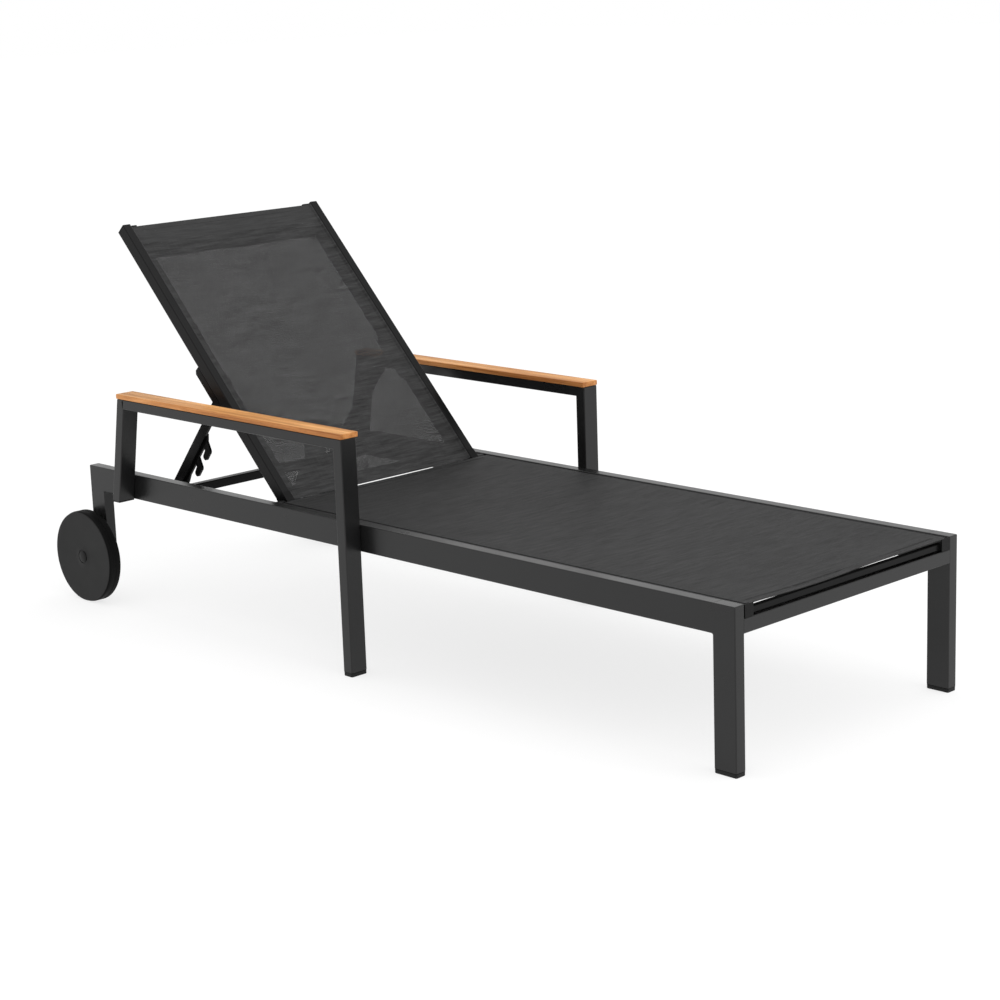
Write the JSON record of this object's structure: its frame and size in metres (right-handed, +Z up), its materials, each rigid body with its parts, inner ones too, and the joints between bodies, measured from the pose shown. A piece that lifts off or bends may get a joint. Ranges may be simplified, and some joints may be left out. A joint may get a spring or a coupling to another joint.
{
  "type": "reclining sun lounger",
  "caption": "Metal-framed sun lounger with a mesh sling seat, a notched reclining backrest, wooden-topped arms and wheels at the head end.",
  "frame": {"origin": "on the floor, in the middle of the lounger's width, half way along its length with the backrest raised as stored", "axes": "+X towards the foot end, +Y towards the sitter's left, +Z up"},
  "size_m": [1.9659, 0.736, 0.8435],
  "materials": {
    "charcoal_coat": "matt charcoal powder coat on metal tube",
    "black_plastic": "moulded black plastic",
    "tyre": "matt black soft tyre",
    "sling_mesh": "dark grey woven polyester mesh coated in PVC",
    "teak": "oiled teak, fine straight grain",
    "steel": "plated steel"
  },
  "bodies": {
    "frame": {"side_rail_R": "charcoal_coat", "side_rail_L": "charcoal_coat", "foot_leg_R": "charcoal_coat", "foot_leg_L": "charcoal_coat", "foot_glide_R": "black_plastic", "foot_glide_L": "black_plastic", "foot_rail": "charcoal_coat", "seat_cross_rail_front": "charcoal_coat", "seat_cross_rail_rear": "charcoal_coat", "catch_bar": "charcoal_coat", "wheel_leg_R": "charcoal_coat", "wheel_leg_L": "charcoal_coat", "arm_front_post_R": "charcoal_coat", "arm_front_post_L": "charcoal_coat", "arm_top_tube_R": "charcoal_coat", "arm_top_tube_L": "charcoal_coat", "arm_rear_post_R": "charcoal_coat", "arm_rear_post_L": "charcoal_coat", "arm_glide_R": "black_plastic", "arm_glide_L": "black_plastic", "rear_post_plugs": "black_plastic", "armrest_slat_R": "teak", "armrest_slat_L": "teak", "armrest_screws": "steel", "axle_R": "steel", "axle_L": "steel", "seat_rail_R": "charcoal_coat", "seat_rail_L": "charcoal_coat", "seat_rail_caps": "black_plastic", "seat_spreader_foot": "charcoal_coat", "seat_spreader_middle": "charcoal_coat", "seat_spreader_rear": "charcoal_coat", "seat_keders": "black_plastic", "seat_sling": "sling_mesh", "hinge_stud_R": "steel", "hinge_stud_L": "steel", "hinge_bushes": "black_plastic", "hinge_nuts": "steel"},
    "backrest": {"hinge_knuckles": "black_plastic", "back_rail_R": "charcoal_coat", "back_rail_L": "charcoal_coat", "back_rail_caps": "black_plastic", "back_top_bar": "charcoal_coat", "back_bottom_bar": "charcoal_coat", "back_keders": "black_plastic", "back_sling": "sling_mesh", "strut_bracket_R": "charcoal_coat", "strut_bracket_L": "charcoal_coat", "strut_pins": "steel"},
    "strut_R": {"strut_arm_R": "charcoal_coat", "hook_plate_R": "charcoal_coat"},
    "strut_L": {"strut_arm_L": "charcoal_coat", "hook_plate_L": "charcoal_coat"},
    "wheel_R": {"wheel_disc_R": "black_plastic", "wheel_tyre_R": "tyre", "hub_cap_R": "black_plastic"},
    "wheel_L": {"wheel_disc_L": "black_plastic", "wheel_tyre_L": "tyre", "hub_cap_L": "black_plastic"}
  },
  "joints": [
    {"name": "recline", "type": "hinge", "parent": "frame", "child": "backrest", "pos_m": [-0.26525, 0, 0.2945], "axis": [0, -1, 0], "range_deg": [0, 46.5]},
    {"name": "strut_swing_R", "type": "hinge", "parent": "backrest", "child": "strut_R", "pos_m": [-0.49033, 0, 0.51861], "axis": [0, -1, 0], "range_deg": [-97.4, 0]},
    {"name": "strut_swing_L", "type": "hinge", "parent": "backrest", "child": "strut_L", "pos_m": [-0.49033, 0, 0.51861], "axis": [0, -1, 0], "range_deg": [-97.4, 0]},
    {"name": "wheel_spin_R", "type": "hinge", "parent": "frame", "child": "wheel_R", "pos_m": [-0.87975, 0, 0.103], "axis": [0, 1, 0], "continuous": true},
    {"name": "wheel_spin_L", "type": "hinge", "parent": "frame", "child": "wheel_L", "pos_m": [-0.87975, 0, 0.103], "axis": [0, 1, 0], "continuous": true}
  ],
  "couplings": [
    {"joint": "strut_swing_R", "follows": "recline", "ratio": -2.0925},
    {"joint": "strut_swing_L", "follows": "recline", "ratio": -2.0925}
  ]
}
